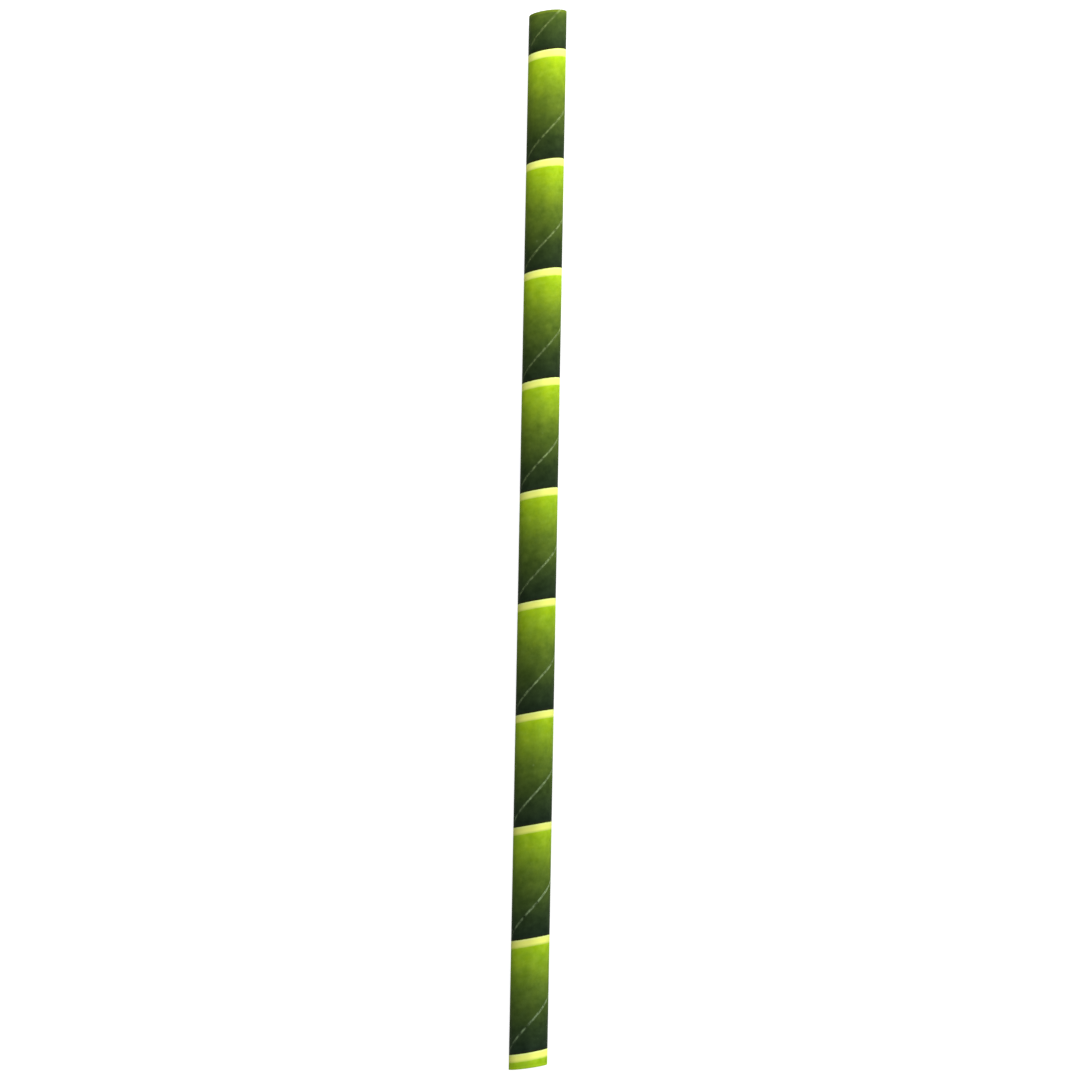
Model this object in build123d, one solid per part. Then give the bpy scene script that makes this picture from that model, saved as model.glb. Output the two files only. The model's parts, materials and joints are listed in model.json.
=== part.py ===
from build123d import *

import math
import os

# A paper drinking straw: three paper plies wound in a spiral and glued into one straight tube.
# It lies along X with its lowest line at height zero. It is drawn upright along Z first, with
# the line that ends up on top facing -X, and is laid down at the end.

# Driving dimensions in millimetres
straw_length = 197.0
bore_diameter = 6.2
ply_thickness = 0.15
ply_count = 3
winding_pitch = 20.8
seam_gap = 0.16
seam_below_end = 2.15
edge_softening = 0.06

# Driving angles in degrees
cut_slant = 8.8
winding_lean = 11.0
inner_seam_turn = 180.0

# Sizes that follow
bore_radius = bore_diameter / 2
wall = ply_count * ply_thickness
outer_radius = bore_radius + wall
cut_rise = outer_radius * math.tan(math.radians(cut_slant))
lean_slope = math.tan(math.radians(winding_lean))
winding_climb = math.atan2(winding_pitch, 2 * math.pi * outer_radius)


def cut_plane(end):
    """The knife's plane at the upper (1) or lower (-1) end, higher on the side that faces -Y."""
    slant = math.radians(cut_slant)
    return Plane(
        origin=(0, 0, end * straw_length / 2),
        z_dir=(0, math.sin(slant), math.cos(slant)),
    )


def cut_tube():
    """The glued wall cut to length, with the four edges of its two cuts softened."""
    blank_length = straw_length + 4 * cut_rise
    tube = Cylinder(outer_radius, blank_length) - Cylinder(bore_radius, blank_length)
    tube = split(tube, bisect_by=cut_plane(1), keep=Keep.BOTTOM)
    tube = split(tube, bisect_by=cut_plane(-1), keep=Keep.TOP)
    rims = tube.faces().filter_by(GeomType.PLANE).edges()
    return fillet(rims, min(edge_softening, wall / 4))


def leaned(shape):
    """The shape sheared along the straw, so that its side along -Y stands higher."""
    return shape.transform_geometry(Matrix([[1, 0, 0, 0], [0, 1, 0, 0], [0, -lean_slope, 1, 0]]))


def seam_turn(inner_radius, outer_radius, turned):
    """One right-handed turn of the gap between the edges of a ply that lies between two radii."""
    opening = seam_gap / math.sin(winding_climb)
    section = Pos(-(inner_radius + outer_radius) / 2, 0) * Rectangle(
        outer_radius - inner_radius, opening
    )
    turn = Solid.extrude_linear_with_rotation(
        section.face(), center=(0, 0, 0), normal=(0, 0, winding_pitch), angle=360
    )
    return leaned(turn.rotate(Axis.Z, turned))


def open_seam(inner_radius, outer_radius, turned=0.0):
    """Every turn of one ply's open butt joint, end to end past both cuts of the straw."""
    crossing = straw_length / 2 - seam_below_end
    reach = straw_length / 2 + cut_rise + outer_radius * lean_slope
    turns_below = math.ceil((reach + crossing) / winding_pitch)
    turns_above = math.ceil((reach - crossing) / winding_pitch)
    turn = seam_turn(inner_radius, outer_radius, turned)
    return [
        Pos(0, 0, crossing + number * winding_pitch) * turn
        for number in range(-turns_below, turns_above)
    ]


def straw_tube():
    """The straw's one piece: the cut tube with the seams of its outer and inner plies open."""
    outer_seam = open_seam(outer_radius - ply_thickness, outer_radius + ply_thickness)
    inner_seam = open_seam(
        bore_radius - ply_thickness, bore_radius + ply_thickness, inner_seam_turn
    )
    upright = cut_tube() - outer_seam - inner_seam
    return Pos(0, 0, outer_radius) * Rot(0, 90, 0) * upright


os.makedirs("parts", exist_ok=True)
export_step(straw_tube(), "parts/straw_tube.step")
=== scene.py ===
import json
import math

import bpy
from bpy.props import FloatProperty, FloatVectorProperty, IntProperty, PointerProperty
from mathutils import Matrix, Vector


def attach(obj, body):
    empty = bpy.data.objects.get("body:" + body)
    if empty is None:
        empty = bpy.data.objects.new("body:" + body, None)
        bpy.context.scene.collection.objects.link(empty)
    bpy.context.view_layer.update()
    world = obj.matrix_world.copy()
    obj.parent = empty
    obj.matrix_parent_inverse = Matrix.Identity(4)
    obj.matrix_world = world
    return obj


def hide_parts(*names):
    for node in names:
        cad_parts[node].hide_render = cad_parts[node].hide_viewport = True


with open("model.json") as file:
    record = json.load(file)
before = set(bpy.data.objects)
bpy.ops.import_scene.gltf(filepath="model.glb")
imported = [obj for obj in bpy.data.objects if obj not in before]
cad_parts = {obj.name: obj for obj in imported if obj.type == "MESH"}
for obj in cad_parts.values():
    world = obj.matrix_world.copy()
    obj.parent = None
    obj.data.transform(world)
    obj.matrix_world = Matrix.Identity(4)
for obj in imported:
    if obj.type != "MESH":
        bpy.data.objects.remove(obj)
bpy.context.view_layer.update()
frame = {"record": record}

# A spiral-wound paper drinking straw, printed to look like green cane, on a plain pale floor.
# The straw lies along X. Its top line faces the camera and its seams climb right-handed.
# Lengths are metres. The print's phase is 0 at a cream ring's upper edge and grows down the
# straw to 1 at the next ring's.

bl_info = {
    "name": "Paper straw",
    "version": (1, 0, 0),
    "blender": (4, 5, 0),
    "location": "3D View > Sidebar > Straw",
    "description": "Makes a spiral-wound paper straw with a printed cane pattern",
    "category": "Add Mesh",
}

MM = 0.001
MOUNT_SIZES = {mount["name"]: mount["dims"] for mount in frame["record"]["mounts"]}
STRAW_LENGTH = MOUNT_SIZES["outer_wall"]["length_mm"] * MM
OUTER_RADIUS = MOUNT_SIZES["outer_wall"]["r_mm"] * MM
BORE_RADIUS = MOUNT_SIZES["bore"]["r_mm"] * MM


def colour_prop(name, description, default):
    """A colour that a user can change."""
    return FloatVectorProperty(
        name=name, description=description, default=default,
        size=3, min=0.0, max=1.0, subtype="COLOR",
    )


def size_prop(name, description, default, low, high):
    """A length that a user can change."""
    return FloatProperty(
        name=name, description=description, default=default,
        min=low, max=high, precision=5, unit="LENGTH",
    )


def angle_prop(name, description, degrees):
    """An angle that a user can change."""
    return FloatProperty(
        name=name, description=description, default=math.radians(degrees),
        min=math.radians(-45), max=math.radians(45), unit="ROTATION",
    )


def place_prop(name, description, default):
    """A point that a user can move."""
    return FloatVectorProperty(
        name=name, description=description, default=default, size=3, subtype="TRANSLATION")


def lamp_size_prop(name, description, default):
    """The two sides of a lamp that a user can change."""
    return FloatVectorProperty(
        name=name, description=description, default=default,
        size=2, min=0.01, max=2.0, unit="LENGTH",
    )


def power_prop(name, description, default):
    """The power of a lamp that a user can change."""
    return FloatProperty(
        name=name, description=description, default=default, min=0.0, max=100.0, unit="POWER")


def share_prop(name, description, default, high=1.0):
    """A share or strength that a user can change."""
    return FloatProperty(name=name, description=description, default=default, min=0.0, max=high)


def waves_prop(name, description, default):
    """The fineness of a random pattern that a user can change, in waves to a metre."""
    return FloatProperty(
        name=name, description=description + ", in waves to a metre", default=default,
        min=1.0, max=20000.0,
    )


class StrawTubeSizes(bpy.types.PropertyGroup):
    """Sizes of the wound tube."""

    length: size_prop("Length", "Length of the straw along its axis", STRAW_LENGTH, 0.05, 0.3)
    outer_radius: size_prop(
        "Outer radius", "Radius of the printed outside", OUTER_RADIUS, 0.002, 0.008)
    bore_radius: size_prop(
        "Bore radius", "Radius of the plain inside", BORE_RADIUS, 0.001, 0.007)
    plies: IntProperty(
        name="Plies", description="Paper strips wound on each other", default=3, min=1, max=5)
    pitch: size_prop(
        "Winding pitch", "Advance of the winding and of the print in one turn",
        20.75 * MM, 0.005, 0.05)
    winding_lean: angle_prop("Winding lean", "Slope of the winding across the straw", 11.0)
    cut_slant: angle_prop("Cut slant", "Slope of both end cuts across the straw", 8.8)
    seam_gap: size_prop(
        "Seam gap", "Open width between neighbouring edges of a ply", 0.16 * MM, 0.0, 0.001)
    seam_wander: size_prop(
        "Seam wander", "How far the seam strays to either side", 0.05 * MM, 0.0, 0.0005)
    seam_below_end: size_prop(
        "Seam below end", "Where the outer seam first crosses the top line",
        2.25 * MM, 0.0, 0.03)
    seam_drift: size_prop(
        "Seam drift", "How far the seam runs ahead of and behind an even winding",
        0.44 * MM, 0.0, 0.003)
    print_drift: size_prop(
        "Print drift", "How far the print runs ahead of and behind an even winding",
        0.20 * MM, 0.0, 0.003)
    drift_wave: size_prop(
        "Drift wave", "Length over which the winding gains and loses once", 216 * MM, 0.02, 1.0)
    drift_start: size_prop(
        "Drift start", "Place along the straw where the winding is furthest behind",
        68 * MM, -0.5, 0.5)
    softening: size_prop(
        "Edge softening", "Radius of the worn edges at both cuts", 0.06 * MM, 1e-6, 0.0002)
    columns: IntProperty(
        name="Columns", description="Mesh columns around the straw, a multiple of four",
        default=84, min=48, max=200)
    outer_rows: IntProperty(
        name="Outer rows", description="Mesh rows along the outside", default=620, min=50, max=900)
    bore_rows: IntProperty(
        name="Bore rows", description="Mesh rows along the inside", default=500, min=50, max=900)
    seed: IntProperty(
        name="Seed", description="Start of the seam's random wander", default=7, min=0, max=999)


class StrawPrintColours(bpy.types.PropertyGroup):
    """Places and colours of the print and of the paper under it."""

    first_ring: size_prop(
        "First ring", "Upper edge of the first cream ring, below the upper end",
        7.37 * MM, 0.0, 0.05)
    ring_height: size_prop(
        "Ring height", "Height of a cream ring along the straw", 1.47 * MM, 0.0, 0.01)
    cream: colour_prop("Cream", "Middle of a ring", (0.75, 0.80, 0.170))
    pale_cream: colour_prop("Pale cream", "Upper edge of a ring", (0.73, 0.80, 0.31))
    straw_gold: colour_prop("Straw gold", "Faint warm line along a ring", (0.90, 0.74, 0.20))
    lime: colour_prop("Lime", "Cane just under a ring", (0.300, 0.475, 0.011))
    leaf: colour_prop("Leaf", "Cane a quarter of the way down", (0.178, 0.283, 0.0145))
    moss: colour_prop("Moss", "Cane halfway down", (0.078, 0.128, 0.0140))
    fir: colour_prop("Fir", "Cane three quarters of the way down", (0.0240, 0.0424, 0.0112))
    night: colour_prop("Night", "Cane just above the next ring", (0.0126, 0.0228, 0.0101))
    umber: colour_prop("Umber", "Thin dark line against the next ring", (0.020, 0.019, 0.008))
    pressed: colour_prop(
        "Pressed edge", "What pressing adds to the print along both cuts", (0.050, 0.062, 0.0))
    bare_paper: colour_prop(
        "Bare paper", "Unprinted paper of the cuts and the bore", (0.80, 0.79, 0.71))
    seam_paper: colour_prop(
        "Seam paper", "Middle ply seen through the outer seam", (0.43, 0.56, 0.26))
    glue: colour_prop("Glue", "Glue between the plies on the cuts", (0.42, 0.36, 0.24))


class StrawPaperFinish(bpy.types.PropertyGroup):
    """Texture, wear and roughness of the paper and its print."""

    blotch_waves: waves_prop("Blotches", "Broad soft blotches", 420.0)
    wisp_waves: waves_prop("Wisps", "Wisps that run round the wall", 1100.0)
    grain_waves: waves_prop("Grain", "Fine grain of the paper", 9000.0)
    fade_waves: waves_prop("Fade wobble", "Wobble of the cane's fade to dark", 300.0)
    fuzz_waves: waves_prop("Ring fuzz", "Fuzz on the edges of the rings", 1800.0)
    fleck_waves: waves_prop("Flecks", "Places that can hold a pale fleck", 420.0)
    bead_waves: waves_prop("Seam beads", "Lighter and duller spots of the outer seam", 1100.0)
    fray_waves: waves_prop("Seam fray", "Frayed ink beside the outer seam", 2500.0)
    light_mottle: share_prop("Light mottling", "Mottling just under a ring", 0.45, 2.0)
    dark_mottle: share_prop("Dark mottling", "Mottling just above the next ring", 1.30, 2.0)
    fleck_paleness: share_prop("Fleck paleness", "Paper that shows in a fleck", 0.10)
    seam_paleness: share_prop("Seam paleness", "Paper that shows in the outer seam", 0.52)
    fringe_paleness: share_prop("Fringe paleness", "Paper that shows beside that seam", 0.20)
    bead_contrast: share_prop("Bead contrast", "Unevenness along that seam", 4.8, 10.0)
    fringe_reach: size_prop(
        "Fringe reach", "How far the ink is worn beside the outer seam", 0.29 * MM, 0.0, 0.001)
    pressed_reach: size_prop(
        "Pressed reach", "Width of the pressed edge along both cuts", 0.60 * MM, 0.0, 0.003)
    glue_share: share_prop("Glue share", "How strongly the glue shows on the cuts", 0.35)
    print_roughness: share_prop("Print roughness", "Roughness of the printed outside", 0.56)
    paper_roughness: share_prop("Paper roughness", "Roughness of the bare paper", 0.82)
    relief: size_prop("Relief", "Depth of the paper's texture", 0.03 * MM, 0.0, 0.0005)


class StrawStageSettings(bpy.types.PropertyGroup):
    """Camera, lamps and floor."""

    camera_height: size_prop(
        "Camera height", "Height of the camera over the straw's axis", 0.650, 0.2, 3.0)
    camera_along: size_prop(
        "Camera along", "Place of the camera along the straw", -50 * MM, -0.5, 0.5)
    camera_across: size_prop(
        "Camera across", "Place of the camera across the straw", -0.39 * MM, -0.5, 0.5)
    aim_along: size_prop(
        "Aim along", "Point of the straw that the camera looks at", -1.01 * MM, -0.5, 0.5)
    camera_roll: angle_prop("Camera roll", "How far the straw leans in the picture", 1.082)
    lens: FloatProperty(
        name="Lens", description="Focal length in millimetres", default=116.5,
        min=20.0, max=400.0)
    side_lamp_place: place_prop(
        "Side lamp place", "Middle of the low lamp at the straw's side", (0.20, -0.45, 0.026))
    side_lamp_size: lamp_size_prop(
        "Side lamp size", "Width and height of the low lamp", (0.30, 0.05))
    side_lamp_power: power_prop("Side lamp power", "Power of the low lamp", 2.05)
    top_lamp_place: place_prop(
        "Top lamp place", "Middle of the lamp over the upper end", (0.20, -0.04, 0.20))
    top_lamp_size: lamp_size_prop(
        "Top lamp size", "Width and height of the lamp over the upper end", (0.20, 0.20))
    top_lamp_power: power_prop("Top lamp power", "Power of the lamp over the upper end", 0.80)
    foot_lamp_place: place_prop(
        "Foot lamp place", "Middle of the lamp over the lower end", (-0.25, 0.0, 0.35))
    foot_lamp_size: lamp_size_prop(
        "Foot lamp size", "Width and height of the lamp over the lower end", (0.20, 0.20))
    foot_lamp_power: power_prop("Foot lamp power", "Power of the lamp over the lower end", 0.70)
    sky: share_prop("Sky", "Strength of the light from all round", 0.12, 2.0)
    floor_size: size_prop("Floor size", "Side of the square floor", 4.0, 0.5, 20.0)
    floor_albedo: colour_prop(
        "Floor", "Floor as it lights the straw from below", (0.45, 0.45, 0.45))
    floor_glow: share_prop("Floor glow", "White added where the floor is seen", 0.80)


class Wire:
    """A number or colour in a node tree. Arithmetic on it adds Math nodes to the tree."""

    def __init__(self, tree, socket):
        self.tree = tree
        self.socket = socket

    def math(self, operation, *others):
        """This value, and others after it, put through a Math node."""
        inputs = dict(enumerate((self, *others)))
        return self.tree.add("ShaderNodeMath", inputs, operation=operation)

    def __add__(self, other):
        return self.math("ADD", other)

    __radd__ = __add__

    def __mul__(self, other):
        return self.math("MULTIPLY", other)

    __rmul__ = __mul__

    def __sub__(self, other):
        return self.math("SUBTRACT", other)

    def __rsub__(self, other):
        return self.tree.add("ShaderNodeMath", {0: other, 1: self}, operation="SUBTRACT")

    def __truediv__(self, other):
        return self.math("DIVIDE", other)

    def __rtruediv__(self, other):
        return self.tree.add("ShaderNodeMath", {0: other, 1: self}, operation="DIVIDE")

    def __neg__(self):
        return self * -1.0

    def rise(self, low, high, shape="LINEAR"):
        """Zero up to low and one from high."""
        return self.tree.add(
            "ShaderNodeMapRange",
            {"Value": self, "From Min": low, "From Max": high},
            interpolation_type=shape,
        )

    def soft_rise(self, low, high):
        """As rise, with soft ends."""
        return self.rise(low, high, "SMOOTHSTEP")

    def between(self, first, second):
        """The first value at zero and the second at one."""
        return first + (second - first) * self


class Tree:
    """A node tree, and the one way in which nodes are added to it."""

    def __init__(self, node_tree):
        self.node_tree = node_tree
        node_tree.nodes.clear()

    def add(self, kind, inputs=None, output=0, stops=(), **settings):
        """Adds a node, sets it up, fills or links its inputs and gives one of its outputs."""
        node = self.node_tree.nodes.new(kind)
        count = len(self.node_tree.nodes)
        node.location = (200 * (count // 10), -180 * (count % 10))
        for name, value in settings.items():
            setattr(node, name, value)
        if stops:
            set_stops(node.color_ramp.elements, stops)
        for key, value in (inputs or {}).items():
            self.feed(node.inputs[key], value)
        return self.out(node, output)

    def feed(self, socket, value):
        """Links a wire to a socket, or writes a value on it."""
        if isinstance(value, Wire):
            self.node_tree.links.new(value.socket, socket)
        elif socket.type == "RGBA":
            socket.default_value = (*value[:3], 1.0)
        else:
            socket.default_value = value

    def out(self, node, output):
        """One output of a node, or nothing for a node without outputs."""
        return Wire(self, node.outputs[output]) if node.outputs else None

    def others(self, wire, *outputs):
        """Further outputs of the node that a wire comes from."""
        return [self.out(wire.socket.node, output) for output in outputs]

    def mix(self, first, second, share, kind="MIX"):
        """A colour between two others, or the second laid on the first in another way."""
        return self.add(
            "ShaderNodeMix", {0: share, 6: first, 7: second}, output=2,
            data_type="RGBA", blend_type=kind,
        )

    def retone(self, colour, brightness, hue=0.5, richness=1.0):
        """A colour made lighter, darker or yellower. The middle values leave it as it is."""
        return self.add(
            "ShaderNodeHueSaturation",
            {"Hue": hue, "Saturation": richness, "Value": brightness, "Color": colour},
        )

    def noise(self, place, waves, detail=2.0, roughness=0.5):
        """Soft random values round zero, at so many waves to a metre."""
        return self.add(
            "ShaderNodeTexNoise",
            {"Vector": place, "Scale": waves, "Detail": detail, "Roughness": roughness},
        ) - 0.5


def set_stops(elements, stops):
    """Gives a colour ramp its stops, as places and colours in rising order."""
    while len(elements) > 1:
        elements.remove(elements[0])
    for place, _ in stops[1:]:
        elements.new(place)
    for element, (place, colour) in zip(elements, stops):
        element.position = place
        element.color = (*colour[:3], 1.0)


def share_of(first, second, share):
    """A colour between two others."""
    return tuple(a + (b - a) * share for a, b in zip(first, second))


TUBE_INPUTS = (
    ("Length", "Float", "length"),
    ("Outer Radius", "Float", "outer_radius"),
    ("Bore Radius", "Float", "bore_radius"),
    ("Plies", "Float", "plies"),
    ("Winding Pitch", "Float", "pitch"),
    ("Winding Lean", "Float", "winding_lean"),
    ("Cut Slant", "Float", "cut_slant"),
    ("Seam Gap", "Float", "seam_gap"),
    ("Seam Wander", "Float", "seam_wander"),
    ("Seam Below End", "Float", "seam_below_end"),
    ("Seam Drift", "Float", "seam_drift"),
    ("Drift Wave", "Float", "drift_wave"),
    ("Drift Start", "Float", "drift_start"),
    ("Softening", "Float", "softening"),
    ("Columns", "Int", "columns"),
    ("Outer Rows", "Int", "outer_rows"),
    ("Bore Rows", "Int", "bore_rows"),
    ("Seed", "Int", "seed"),
)
RIM_ROWS = 30
CREASE_ANGLE = math.radians(38)
CLOSING_DISTANCE = 5e-7

# The columns at a seam, counted from its middle: the foot of its wall, and the worn lip
SEAM_FOOT = 2.0
LIP_FROM = 3.0
LIP_TO = 4.0
LIP_WIDTH = 0.25
LIP_DROP = 0.1

# The seam's random width as a share of its gap, the waves to a metre of width and wander, and
# the gain that brings their noise to about -1 to 1
SEAM_WIDTH_MEAN = 0.8
SEAM_WIDTH_SPREAD = 0.35
SEAM_WIDTH_WAVES = 900.0
SEAM_STRAY_WAVES = 350.0
STRAY_SEED_STEP = 50.0
SEAM_NOISE_GAIN = 3.0

# The dip between two plies on a cut, as a share of the softening, and how narrow it is
PLY_DIP = 0.35
PLY_DIP_POWER = 8.0


def drift_share(x, wave, start):
    """How far ahead the winding is at a place along the straw, from -1 to 1."""
    return -((x - start) * 2 * math.pi / wave).math("COSINE")


def seam_noise(tree, flat_x, waves, seed):
    """Random values from about -1 to 1 along the straw."""
    noise = tree.add(
        "ShaderNodeTexNoise", {"W": flat_x * waves + seed, "Scale": 1.0, "Detail": 2.0},
        noise_dimensions="1D",
    )
    return (noise - 0.5) * SEAM_NOISE_GAIN


def seam_columns(column, columns, half_gap, stray):
    """A column's angle round the straw, and how far the outer and inner plies stand open there.

    The outer seam lies at column zero and the inner one halfway round. Columns 0 and 1 from a
    seam's middle lie on its floor, 2 is the foot of its wall, 3 and 4 are the worn lip, and the
    rest are spread evenly up to the middle between the two seams.
    """
    turns = column / columns
    nearest = (turns * 2.0).math("ROUND")
    away = (turns * 2.0 - nearest) * columns * 0.5
    count = away.math("ABSOLUTE")
    quarter = columns * 0.25
    lip = half_gap * LIP_WIDTH
    from_seam = (
        half_gap * count.rise(0.0, SEAM_FOOT)
        + lip * count.rise(LIP_FROM, LIP_TO)
        + (math.pi / 2 - half_gap - lip) * count.rise(LIP_TO, quarter)
    )
    angle = nearest * math.pi + away.math("SIGN") * from_seam
    angle = angle + stray * count.rise(quarter, LIP_TO)
    wall_share = count.rise(SEAM_FOOT, LIP_FROM)
    lip_share = count.rise(LIP_FROM, LIP_TO)
    open_share = 1.0 - (1.0 - LIP_DROP) * wall_share - LIP_DROP * lip_share
    at_inner = nearest.math("MODULO", 2.0)
    return angle, open_share * (1.0 - at_inner), open_share * at_inner


def rim_drop(into_wall, wall, plies, softening):
    """How far the cut lies back from the knife's plane at its edges and between the plies."""
    from_edge = (into_wall.math("MINIMUM", 1.0 - into_wall) * wall).math("MINIMUM", softening)
    inset = 1.0 - from_edge / softening
    rounded = 1.0 - (1.0 - inset * inset).math("MAXIMUM", 0.0).math("SQRT")
    across_ply = ((into_wall * plies).math("FRACT") * 2.0 - 1.0).math("ABSOLUTE")
    return softening * rounded.math("MAXIMUM", PLY_DIP * across_ply.math("POWER", PLY_DIP_POWER))


def wound_tube_tree():
    """The node tree that winds a grid into the straw, with its seams, cuts and bore."""
    group = bpy.data.node_groups.new("Wound tube", "GeometryNodeTree")
    group.interface.new_socket("Geometry", in_out="OUTPUT", socket_type="NodeSocketGeometry")
    for name, kind, _ in TUBE_INPUTS:
        group.interface.new_socket(name, in_out="INPUT", socket_type="NodeSocket" + kind)
    group.interface.new_socket("Material", in_out="INPUT", socket_type="NodeSocketMaterial")
    tree = Tree(group)
    names = [name for name, _, _ in TUBE_INPUTS] + ["Material"]
    given = tree.add("NodeGroupInput")
    size = dict(zip(names, tree.others(given, *names)))

    top_rim = size["Outer Rows"] + RIM_ROWS
    bore_end = top_rim + size["Bore Rows"]
    last_row = bore_end + RIM_ROWS
    index = tree.add("GeometryNodeInputIndex")
    column = (index / (last_row + 1.0)).math("FLOOR")
    row = index - column * (last_row + 1.0)

    outer_radius = size["Outer Radius"]
    wall = outer_radius - size["Bore Radius"]
    ply = wall / size["Plies"]
    into_wall = row.rise(size["Outer Rows"], top_rim) - row.rise(bore_end, last_row)
    along = -1.0 + 2.0 * row.rise(0.0, size["Outer Rows"]) - 2.0 * row.rise(top_rim, bore_end)
    drop = rim_drop(into_wall, wall, size["Plies"], size["Softening"])
    half_length = size["Length"] * 0.5
    flat_x = along * (half_length - drop)

    turn_rate = 2 * math.pi / size["Winding Pitch"]
    climb = (1.0 / (turn_rate * outer_radius)).math("ARCTANGENT")
    seed = size["Seed"]
    width_share = SEAM_WIDTH_MEAN + SEAM_WIDTH_SPREAD * seam_noise(
        tree, flat_x, SEAM_WIDTH_WAVES, seed)
    half_gap = size["Seam Gap"] * width_share * 0.5 / (climb.math("SINE") * outer_radius)
    stray = size["Seam Wander"] * seam_noise(
        tree, flat_x, SEAM_STRAY_WAVES, seed + STRAY_SEED_STEP)
    base_angle, open_outside, open_inside = seam_columns(
        column, size["Columns"], half_gap, stray / outer_radius)
    outside = outer_radius - ply * open_outside
    inside = size["Bore Radius"] + ply * open_inside
    radius = outside - (outside - inside) * into_wall

    slant = size["Cut Slant"].math("TANGENT")
    skew = size["Winding Lean"].math("TANGENT") - slant
    ahead = size["Seam Drift"] * drift_share(flat_x, size["Drift Wave"], size["Drift Start"])
    wound = base_angle + turn_rate * (flat_x - half_length + size["Seam Below End"] - ahead)
    # The lean depends on the angle that it changes, so the angle is worked out twice
    angle = wound
    for _ in range(2):
        angle = wound - turn_rate * skew * radius * angle.math("SINE")
    y = -radius * angle.math("SINE")
    z = radius * angle.math("COSINE") + outer_radius
    place = tree.add("ShaderNodeCombineXYZ", {"X": flat_x - slant * y, "Y": y, "Z": z})

    grid = tree.add(
        "GeometryNodeMeshGrid",
        {"Vertices X": size["Columns"] + 1.0, "Vertices Y": last_row + 1.0},
    )
    wound_grid = tree.add("GeometryNodeSetPosition", {"Geometry": grid, "Position": place})
    closed = tree.add(
        "GeometryNodeMergeByDistance", {"Geometry": wound_grid, "Distance": CLOSING_DISTANCE})
    split_quads = tree.add(
        "GeometryNodeTriangulate", {"Mesh": closed}, quad_method="SHORTEST_DIAGONAL")
    finish_tree(tree, split_quads, size["Material"])
    return group


def finish_tree(tree, mesh, material):
    """Smooths the mesh apart from its sharp edges and gives it its material."""
    smooth = tree.add("GeometryNodeSetShadeSmooth", {"Geometry": mesh, "Shade Smooth": True})
    sharp = tree.add("GeometryNodeInputMeshEdgeAngle").math("GREATER_THAN", CREASE_ANGLE)
    creased = tree.add(
        "GeometryNodeSetShadeSmooth",
        {"Geometry": smooth, "Selection": sharp, "Shade Smooth": False}, domain="EDGE",
    )
    real = tree.add("GeometryNodeRealizeInstances", {"Geometry": creased})
    painted = tree.add("GeometryNodeSetMaterial", {"Geometry": real, "Material": material})
    tree.add("NodeGroupOutput", {"Geometry": painted})


def wound_tube_mesh(sizes, material):
    """The straw's mesh, made by the node tree and kept plain."""
    carrier = bpy.data.objects.new("tube_carrier", bpy.data.meshes.new("tube_carrier"))
    bpy.context.scene.collection.objects.link(carrier)
    modifier = carrier.modifiers.new("Wound tube", "NODES")
    modifier.node_group = wound_tube_tree()
    sockets = {item.name: item.identifier for item in modifier.node_group.interface.items_tree}
    for name, _, attribute in TUBE_INPUTS:
        modifier[sockets[name]] = getattr(sizes, attribute)
    modifier[sockets["Material"]] = material
    evaluated = carrier.evaluated_get(bpy.context.evaluated_depsgraph_get())
    mesh = bpy.data.meshes.new_from_object(evaluated)
    bpy.data.objects.remove(carrier)
    if not mesh.polygons:
        raise RuntimeError("the node tree made no tube")
    return mesh


def new_material(name):
    """A node material and the tree that it is built in."""
    material = bpy.data.materials.new(name)
    material.use_nodes = True
    return material, Tree(material.node_tree)


class StrawSpot:
    """Where a point lies on the straw, as the wires that its patterns share.

    turned is its place round the straw, in turns from the top line. to_cut is how far in it lies
    from the nearer cut, wound_x its place along the leaning winding, drift how far the winding
    is ahead there, and phase its place in the print.
    """

    def __init__(self, tree, sizes, colours):
        half_length = sizes.length / 2
        self.place = tree.add("ShaderNodeTexCoord", output="Object")
        self.x = tree.add("ShaderNodeSeparateXYZ", {"Vector": self.place})
        self.y, self.z = tree.others(self.x, "Y", "Z")
        up = self.z - sizes.outer_radius
        self.radius = (self.y * self.y + up * up).math("SQRT")
        self.turned = (-self.y).math("ARCTAN2", up) / (2 * math.pi)
        cut_x = self.x + self.y * math.tan(sizes.cut_slant)
        self.to_cut = half_length - cut_x.math("ABSOLUTE")
        self.wound_x = self.x + self.y * math.tan(sizes.winding_lean)
        self.drift = drift_share(self.wound_x, sizes.drift_wave, sizes.drift_start)
        print_x = self.wound_x - self.drift * sizes.print_drift
        self.phase = ((half_length - colours.first_ring - print_x) / sizes.pitch).math("FRACT")


# How far the wisps are drawn out round the wall
WISP_SQUEEZE = 0.55


class PaperTexture:
    """Random values round zero in the paper and its print."""

    def __init__(self, tree, spot, finish):
        around_wall = tree.add(
            "ShaderNodeCombineXYZ",
            {"X": spot.wound_x, "Y": spot.y * WISP_SQUEEZE, "Z": spot.z * WISP_SQUEEZE},
        )
        self.blotch = tree.noise(spot.place, finish.blotch_waves, detail=4.0, roughness=0.65)
        self.wisp = tree.noise(around_wall, finish.wisp_waves, detail=3.0, roughness=0.6)
        self.grain = tree.noise(spot.place, finish.grain_waves, roughness=0.6)


# Phases of the print: the wobble of its fade and where that is full, the fuzz of a ring's edges
# and their softness, and the thin dark line over a ring
FADE_WOBBLE = 0.05
WOBBLE_FULL = 0.3
RING_FUZZ = 0.006
RING_TOP_SOFTNESS = 0.004
RING_FOOT_SOFTNESS = (-0.003, 0.005)
UMBER_LINE = (0.975, 0.995)
UMBER_SHARE = 0.6


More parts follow.
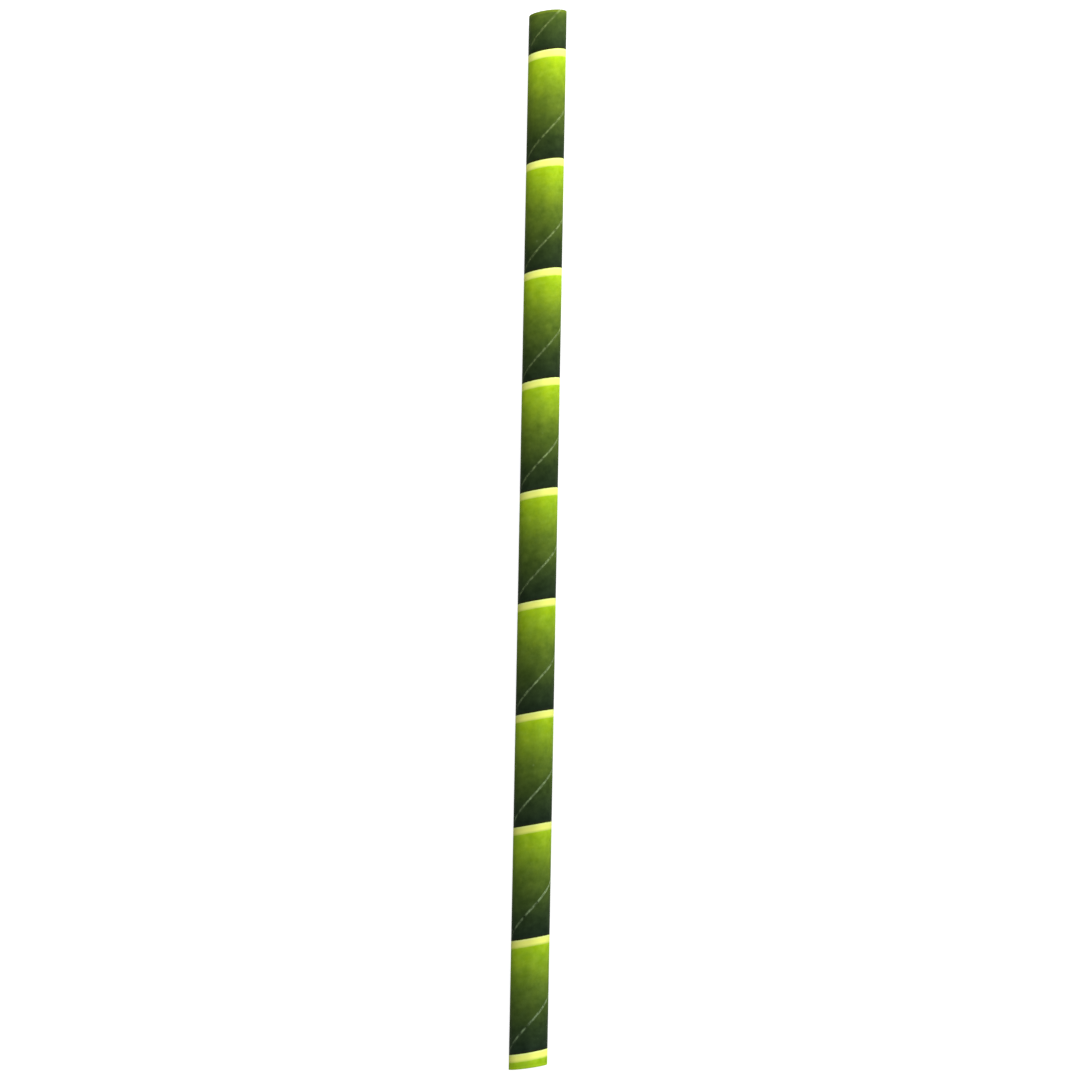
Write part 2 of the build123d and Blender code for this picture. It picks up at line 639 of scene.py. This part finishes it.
def cane_colour(tree, spot, ring, colours, finish):
    """The cane between two rings: lime that darkens down to near black."""
    wobble = tree.noise(spot.place, finish.fade_waves) * FADE_WOBBLE
    wobbly = spot.phase + wobble * spot.phase.soft_rise(ring, WOBBLE_FULL)
    cane = tree.add(
        "ShaderNodeValToRGB", {"Fac": wobbly},
        stops=[
            (ring, colours.lime),
            (0.16, share_of(colours.lime, colours.leaf, 0.45)),
            (0.28, colours.leaf),
            (0.44, share_of(colours.leaf, colours.moss, 0.84)),
            (0.52, colours.moss),
            (0.64, share_of(colours.moss, colours.fir, 0.52)),
            (0.80, colours.fir),
            (0.97, colours.night),
        ],
    )
    return tree.mix(cane, colours.umber, spot.phase.soft_rise(*UMBER_LINE) * UMBER_SHARE)


def ring_colour(tree, spot, ring, colours):
    """A cream ring from its pale upper edge to its greenish foot."""
    return tree.add(
        "ShaderNodeValToRGB", {"Fac": spot.phase / ring},
        stops=[
            (0.0, colours.pale_cream),
            (0.30, colours.cream),
            (0.52, share_of(colours.cream, colours.straw_gold, 0.07)),
            (0.70, colours.cream),
            (0.83, share_of(colours.cream, colours.lime, 0.18)),
            (1.0, share_of(colours.cream, colours.lime, 0.60)),
        ],
    )


def ring_mask(tree, spot, ring, finish):
    """One in a cream ring and zero between two."""
    fuzzy = spot.phase + tree.noise(spot.place, finish.fuzz_waves) * RING_FUZZ
    foot_from, foot_to = (ring + step for step in RING_FOOT_SOFTNESS)
    return fuzzy.soft_rise(0.0, RING_TOP_SOFTNESS) * (1.0 - fuzzy.soft_rise(foot_from, foot_to))


# Phases between which the mottling deepens, and the shares of its parts in tone and colour
MOTTLE_DEEPENS = (0.1, 0.9)
WISP_TONE = 0.60
GRAIN_TONE = 0.10
BLOTCH_HUE = 0.03
WISP_RICHNESS = 0.08
RING_CALM = 0.8

# Painted light along the straw: what the print gains in lightness, red and blue for each metre
# towards the upper end
PAINTED_LIGHT_UPWARD = 1.25
PAINTED_RED_UPWARD = 0.35
PAINTED_BLUE_UPWARD = -2.3

# Painted light: the print is lighter over the first ring, and on stretches measured down from the
# middle
STUB_RISE = 0.8 * MM
STUB_PAINTED_LIGHT = 0.40
PAINTED_LIGHT_STRETCHES = ((62 * MM, 75 * MM, 0.10), (88 * MM, 96 * MM, 0.22))

# The cells that hold a fleck, and its size as a share of a cell
FLECK_CELLS = (0.72, 0.95)
FLECK_RADIUS = 0.14

# How softly the pressed edge and the seam's fringe end, and how unevenly the fringe does
PRESSED_FADE = 0.22 * MM
FRINGE_FADE = 0.20 * MM
FRAY_REACH = 0.10 * MM

# The seam's paleness: on light and on dark print, the phases where it dulls, what it gains for
# each metre towards the upper end, and the middle of its beads
SEAM_IN_LIGHT = 1.35
SEAM_IN_DARK = 0.50
SEAM_DULLS = (0.60, 0.92)
SEAM_UPWARD = -2.0
BEAD_MEAN = 0.95

# Tone of the bare paper's fibres, and half the width of a glue line as a share of a ply
WISP_FIBRE = 0.10
GRAIN_FIBRE = 0.12
GLUE_WIDTH = 0.12

# Where the seam's floor lies, in plies under the outside, and how far in from a cut it starts
SEAM_FLOOR_DEPTHS = (1.3, 1.1)
SEAM_FLOOR_START = (0.01 * MM, 0.06 * MM)

# How deep under the outside the print ends, and how far in from a cut it starts
SKIN_DEPTHS = (0.08 * MM, 0.04 * MM)
SKIN_START = (0.01 * MM, 0.05 * MM)

# Relief, roughness and gloss of the paper
GRAIN_RELIEF = 0.35
WISP_RELIEF = 0.5
BLOTCH_RELIEF = 0.6
RELIEF_STRENGTH = 0.35
GRAIN_ROUGHNESS = 0.10
GLOSS = 0.01


def mottled(tree, printed, in_ring, brightness, spot, texture, finish):
    """The print at the given brightness, which holds the painted light along the straw, with soft
    mottling that the rings hardly show.
    """
    depth = spot.phase.rise(*MOTTLE_DEEPENS).between(finish.light_mottle, finish.dark_mottle)
    tone = (
        1.0 + texture.blotch * depth + texture.wisp * depth * WISP_TONE
        + texture.grain * GRAIN_TONE
    )
    calm_tone = tree.add("ShaderNodeMix", {0: in_ring * RING_CALM, 2: tone, 3: 1.0})
    hue = 0.5 - texture.blotch * BLOTCH_HUE
    richness = 1.0 - texture.wisp * WISP_RICHNESS
    return tree.retone(printed, calm_tone * brightness, hue, richness)


def painted_light_along(spot, upper_ring):
    """Painted light: how light the print is made at a place along the straw, one at its middle."""
    brightness = 1.0 + spot.x * PAINTED_LIGHT_UPWARD
    brightness += spot.wound_x.rise(upper_ring, upper_ring + STUB_RISE) * STUB_PAINTED_LIGHT
    for start, end, lighter in PAINTED_LIGHT_STRETCHES:
        brightness += (-spot.wound_x).soft_rise(start, end) * lighter
    return brightness


def painted_tint_along(tree, spot):
    """A painted light tint on the print: warmer towards the upper end and bluer towards the lower
    end.
    """
    return tree.add(
        "ShaderNodeCombineColor",
        {"Red": 1.0 + spot.x * PAINTED_RED_UPWARD, "Green": 1.0, "Blue": 1.0 + spot.x * PAINTED_BLUE_UPWARD},
    )


def fleck_mask(tree, spot, finish):
    """One in the middle of a pale fleck and zero outside it."""
    cell = tree.add("ShaderNodeTexVoronoi", {"Vector": spot.place, "Scale": finish.fleck_waves})
    chosen = tree.others(cell, "Color")[0]
    rare = tree.add("ShaderNodeSeparateColor", {"Color": chosen}).rise(*FLECK_CELLS)
    return (1.0 - cell.soft_rise(0.0, FLECK_RADIUS)) * rare


def seam_wear(tree, spot, sizes, finish):
    """How far the ink is worn beside the outer seam, and how pale the seam is there."""
    crossing = sizes.length / 2 - sizes.seam_below_end
    turns = (spot.wound_x - spot.drift * sizes.seam_drift - crossing) / sizes.pitch - spot.turned
    climb = math.atan2(sizes.pitch, 2 * math.pi * sizes.outer_radius)
    across_seam = sizes.pitch * math.sin(climb)
    from_seam = (turns - turns.math("ROUND")).math("ABSOLUTE") * across_seam
    fray = tree.noise(spot.place, finish.fray_waves, detail=3.0, roughness=0.7) * FRAY_REACH
    fringe = 1.0 - (from_seam - fray).soft_rise(
        finish.fringe_reach - FRINGE_FADE, finish.fringe_reach)
    bead = tree.noise(spot.place, finish.bead_waves, roughness=0.6) * finish.bead_contrast
    paleness = spot.phase.rise(*SEAM_DULLS).between(SEAM_IN_LIGHT, SEAM_IN_DARK)
    return fringe, paleness * (1.0 + spot.x * SEAM_UPWARD) * (BEAD_MEAN + bead)


def cut_paper(tree, spot, texture, sizes, colours, finish):
    """Bare off-white paper with its fibres, and the glue between the plies on the cuts."""
    fibre = 1.0 + texture.wisp * WISP_FIBRE + texture.grain * GRAIN_FIBRE
    paper = tree.retone(colours.bare_paper, fibre)
    ply = (sizes.outer_radius - sizes.bore_radius) / sizes.plies
    ply_line = ((spot.radius - sizes.bore_radius) / ply + 0.5).math("FRACT") - 0.5
    glue = 1.0 - ply_line.math("ABSOLUTE").soft_rise(0.0, GLUE_WIDTH)
    return tree.mix(paper, colours.glue, glue * finish.glue_share)


def seam_floor_mask(spot, sizes):
    """One on the middle ply where the outer seam shows it, and zero elsewhere."""
    ply = (sizes.outer_radius - sizes.bore_radius) / sizes.plies
    below, above = (sizes.outer_radius - ply * depth for depth in SEAM_FLOOR_DEPTHS)
    return spot.radius.rise(below, above) * spot.to_cut.rise(*SEAM_FLOOR_START)


def skin_mask(spot, sizes):
    """One on the printed outside and zero in the seams, on the cuts and in the bore."""
    below, above = (sizes.outer_radius - depth for depth in SKIN_DEPTHS)
    return spot.radius.soft_rise(below, above) * spot.to_cut.soft_rise(*SKIN_START)


def printed_paper(sizes, colours, finish):
    """Printed paper outside, and bare paper in the seams, on the cuts and in the bore."""
    material, tree = new_material("Printed paper")
    spot = StrawSpot(tree, sizes, colours)
    texture = PaperTexture(tree, spot, finish)
    ring = colours.ring_height / sizes.pitch
    in_ring = ring_mask(tree, spot, ring, finish)
    between_rings = 1.0 - in_ring
    # Painted light tint, warmer towards the upper end, laid on the print between the rings and on
    # the seam's paper
    painted_tint = painted_tint_along(tree, spot)

    cane = cane_colour(tree, spot, ring, colours, finish)
    printed = tree.mix(cane, ring_colour(tree, spot, ring, colours), in_ring)
    # Painted light: the print is made lighter towards the upper end, over the first ring and
    # towards the lower end
    brightness = painted_light_along(spot, sizes.length / 2 - colours.first_ring)
    printed = mottled(tree, printed, in_ring, brightness, spot, texture, finish)
    printed = tree.mix(printed, painted_tint, between_rings, "MULTIPLY")
    fleck = fleck_mask(tree, spot, finish) * finish.fleck_paleness
    printed = tree.mix(printed, colours.seam_paper, fleck * between_rings)
    pressed = 1.0 - spot.to_cut.soft_rise(
        finish.pressed_reach - PRESSED_FADE, finish.pressed_reach)
    printed = tree.mix(printed, colours.pressed, pressed, "ADD")

    fringe, paleness = seam_wear(tree, spot, sizes, finish)
    # The seam's paper carries the same painted light tint
    seam_paper = tree.mix(colours.seam_paper, painted_tint, 1.0, "MULTIPLY")
    seam_floor = tree.mix(printed, seam_paper, paleness * finish.seam_paleness)
    printed = tree.mix(printed, seam_paper, fringe * paleness * finish.fringe_paleness)

    bare = cut_paper(tree, spot, texture, sizes, colours, finish)
    bare = tree.mix(bare, seam_floor, seam_floor_mask(spot, sizes))
    skin = skin_mask(spot, sizes)
    relief = (
        texture.grain * GRAIN_RELIEF + texture.wisp * WISP_RELIEF
        + texture.blotch * BLOTCH_RELIEF
    )
    bump = tree.add(
        "ShaderNodeBump",
        {"Height": relief, "Strength": RELIEF_STRENGTH, "Distance": finish.relief},
    )
    roughness = skin.between(finish.paper_roughness, finish.print_roughness)
    shader = tree.add(
        "ShaderNodeBsdfPrincipled",
        {"Base Color": tree.mix(bare, printed, skin),
         "Roughness": roughness + texture.grain * GRAIN_ROUGHNESS,
         "Normal": bump, "Specular IOR Level": GLOSS},
    )
    tree.add("ShaderNodeOutputMaterial", {"Surface": shader})
    return material


def seen_share(tree):
    """One for rays from the camera and from gloss or glass, and zero for rays that light."""
    camera = tree.add("ShaderNodeLightPath", output="Is Camera Ray")
    glossy, through = tree.others(camera, "Is Glossy Ray", "Is Transmission Ray")
    return camera.math("MAXIMUM", glossy).math("MAXIMUM", through)


def pale_floor(albedo, glow):
    """A plain matt floor, white where it is seen unshaded."""
    material, tree = new_material("Pale floor")
    matt = tree.add("ShaderNodeBsdfDiffuse", {"Color": albedo})
    white = tree.add("ShaderNodeEmission", {"Strength": seen_share(tree) * glow})
    shader = tree.add("ShaderNodeAddShader", {0: matt, 1: white})
    tree.add("ShaderNodeOutputMaterial", {"Surface": shader})
    return material


def pale_world(strength):
    """An even sky of the given strength, white where it is seen."""
    world = bpy.data.worlds.new("Pale sky")
    world.use_nodes = True
    tree = Tree(world.node_tree)
    seen = seen_share(tree)
    sky = tree.add(
        "ShaderNodeBackground", {"Color": (1.0, 1.0, 1.0), "Strength": seen.between(strength, 1.0)})
    tree.add("ShaderNodeOutputWorld", {"Surface": sky})
    return world


class STRAW_OT_paper_tube(bpy.types.Operator):
    """Make the printed paper tube"""

    bl_idname = "straw.paper_tube"
    bl_label = "Paper tube"

    def execute(self, context):
        scene = context.scene
        material = printed_paper(scene.straw_tube, scene.straw_print, scene.straw_finish)
        mesh = wound_tube_mesh(scene.straw_tube, material)
        tube = bpy.data.objects.new("printed_straw", mesh)
        scene.collection.objects.link(tube)
        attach(tube, "root")
        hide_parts("straw_tube")
        return {"FINISHED"}


def add_lamp(context, name, place, size, power):
    """A rectangular lamp at a place, turned towards the straw's middle."""
    data = bpy.data.lights.new(name, "AREA")
    data.shape = "RECTANGLE"
    data.size, data.size_y = size
    data.energy = power
    lamp = bpy.data.objects.new(name, data)
    lamp.location = place
    lamp.rotation_euler = (-Vector(place)).to_track_quat("-Z", "Y").to_euler()
    context.scene.collection.objects.link(lamp)


def add_camera(context, stage, axis_height):
    """The camera over the straw, turned so that the straw stands nearly upright in the picture."""
    data = bpy.data.cameras.new("camera")
    data.lens = stage.lens
    camera = bpy.data.objects.new("camera", data)
    place = Vector((stage.camera_along, stage.camera_across, axis_height + stage.camera_height))
    aim = Vector((stage.aim_along, stage.camera_across, axis_height))
    ahead = (aim - place).normalized()
    upward = Matrix.Rotation(stage.camera_roll, 3, "Z") @ Vector((1.0, 0.0, 0.0))
    right = ahead.cross(upward).normalized()
    turn = Matrix((right, right.cross(ahead), -ahead)).transposed().to_4x4()
    camera.matrix_world = Matrix.Translation(place) @ turn
    context.scene.collection.objects.link(camera)
    context.scene.camera = camera


class STRAW_OT_studio(bpy.types.Operator):
    """Set the floor, the lamps and the camera"""

    bl_idname = "straw.studio"
    bl_label = "Studio"

    def execute(self, context):
        stage = context.scene.straw_stage
        bpy.ops.mesh.primitive_plane_add(size=stage.floor_size, location=(0.0, 0.0, 0.0))
        floor = context.object
        floor.name = "floor"
        floor.data.materials.append(pale_floor(stage.floor_albedo, stage.floor_glow))

        context.scene.world = pale_world(stage.sky)
        for name in ("side_lamp", "top_lamp", "foot_lamp"):
            place, size, power = (
                getattr(stage, name + part) for part in ("_place", "_size", "_power"))
            add_lamp(context, name, place, size, power)
        add_camera(context, stage, context.scene.straw_tube.outer_radius)
        context.scene.view_settings.view_transform = "Standard"
        return {"FINISHED"}


class STRAW_PT_sidebar(bpy.types.Panel):
    """Sizes, print, finish and studio of the straw"""

    bl_idname = "STRAW_PT_sidebar"
    bl_label = "Paper straw"
    bl_space_type = "VIEW_3D"
    bl_region_type = "UI"
    bl_category = "Straw"

    def draw(self, context):
        scene = context.scene
        for group in (scene.straw_tube, scene.straw_print, scene.straw_finish, scene.straw_stage):
            box = self.layout.box()
            for name in group.__annotations__:
                box.prop(group, name)
        for operator in (STRAW_OT_paper_tube, STRAW_OT_studio):
            self.layout.operator(operator.bl_idname)


CLASSES = (
    StrawTubeSizes,
    StrawPrintColours,
    StrawPaperFinish,
    StrawStageSettings,
    STRAW_OT_paper_tube,
    STRAW_OT_studio,
    STRAW_PT_sidebar,
)


def register():
    for item in CLASSES:
        bpy.utils.register_class(item)
    bpy.types.Scene.straw_tube = PointerProperty(type=StrawTubeSizes)
    bpy.types.Scene.straw_print = PointerProperty(type=StrawPrintColours)
    bpy.types.Scene.straw_finish = PointerProperty(type=StrawPaperFinish)
    bpy.types.Scene.straw_stage = PointerProperty(type=StrawStageSettings)


def unregister():
    del bpy.types.Scene.straw_stage
    del bpy.types.Scene.straw_finish
    del bpy.types.Scene.straw_print
    del bpy.types.Scene.straw_tube
    for item in reversed(CLASSES):
        bpy.utils.unregister_class(item)


def main():
    register()
    bpy.ops.straw.paper_tube()
    bpy.ops.straw.studio()


if __name__ == "__main__":
    main()
